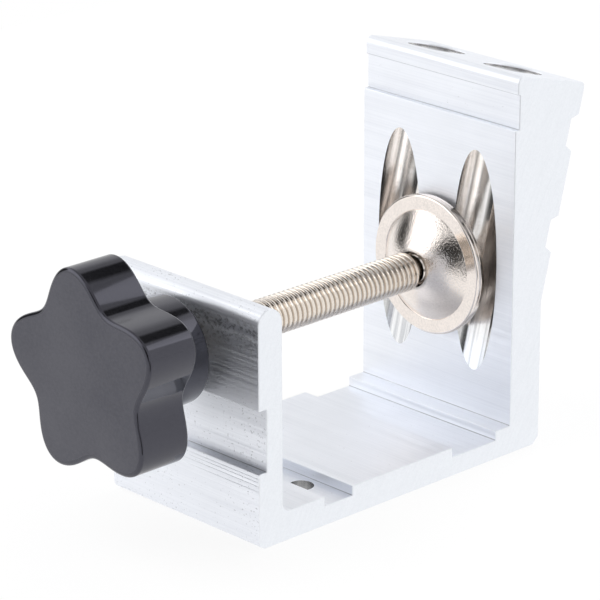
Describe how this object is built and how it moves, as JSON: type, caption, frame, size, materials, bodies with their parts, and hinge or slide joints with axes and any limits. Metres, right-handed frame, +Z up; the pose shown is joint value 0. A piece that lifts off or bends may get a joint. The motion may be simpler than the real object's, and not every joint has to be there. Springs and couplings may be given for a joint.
{
  "type": "pocket hole jig",
  "caption": "Pocket-hole drilling jig: U-shaped extruded aluminium body with slanted steel-lined drill guides, and a clamp screw with a star knob and a swivel pad.",
  "frame": {"origin": "on the underside, at the foot of the work face, in the middle of the width", "axes": "+Y along the clamp screw, from the knob towards the work face; +Z up; +X along the extrusion's width"},
  "size_m": [0.042, 0.1138, 0.0784],
  "materials": {
    "body_aluminium": "mill-finish extrusion with fine lines along the width and sawn ends",
    "sleeve_steel": "hardened and ground",
    "nickel_plate": "warm nickel plate on steel",
    "insert_zinc": "turned steel with zinc plate",
    "knob_plastic": "glossy black moulding"
  },
  "bodies": {
    "frame": {"jig_body": "body_aluminium", "guide_sleeve_left": "sleeve_steel", "guide_sleeve_right": "sleeve_steel"},
    "swivel": {"swivel_ball": "nickel_plate"},
    "screw": {"clamp_screw": "nickel_plate", "star_knob": "knob_plastic", "knob_insert": "insert_zinc"},
    "pad": {"pad_dome": "nickel_plate", "pad_plate": "nickel_plate"}
  },
  "joints": [
    {"name": "clamp_travel", "type": "slide", "parent": "frame", "child": "swivel", "axis": [0, -1, 0], "range_m": [0, 0.05]},
    {"name": "screw_turn", "type": "hinge", "parent": "swivel", "child": "screw", "pos_m": [0, -0.00309, 0.0357], "axis": [0, -1, 0], "range_deg": [0, 14400]},
    {"name": "pad_tilt", "type": "hinge", "parent": "swivel", "child": "pad", "pos_m": [0, -0.00309, 0.0357], "axis": [1, 0, 0], "range_deg": [-3, 3]}
  ],
  "couplings": [
    {"joint": "clamp_travel", "follows": "screw_turn", "m_per_rad": 0.00019894}
  ]
}
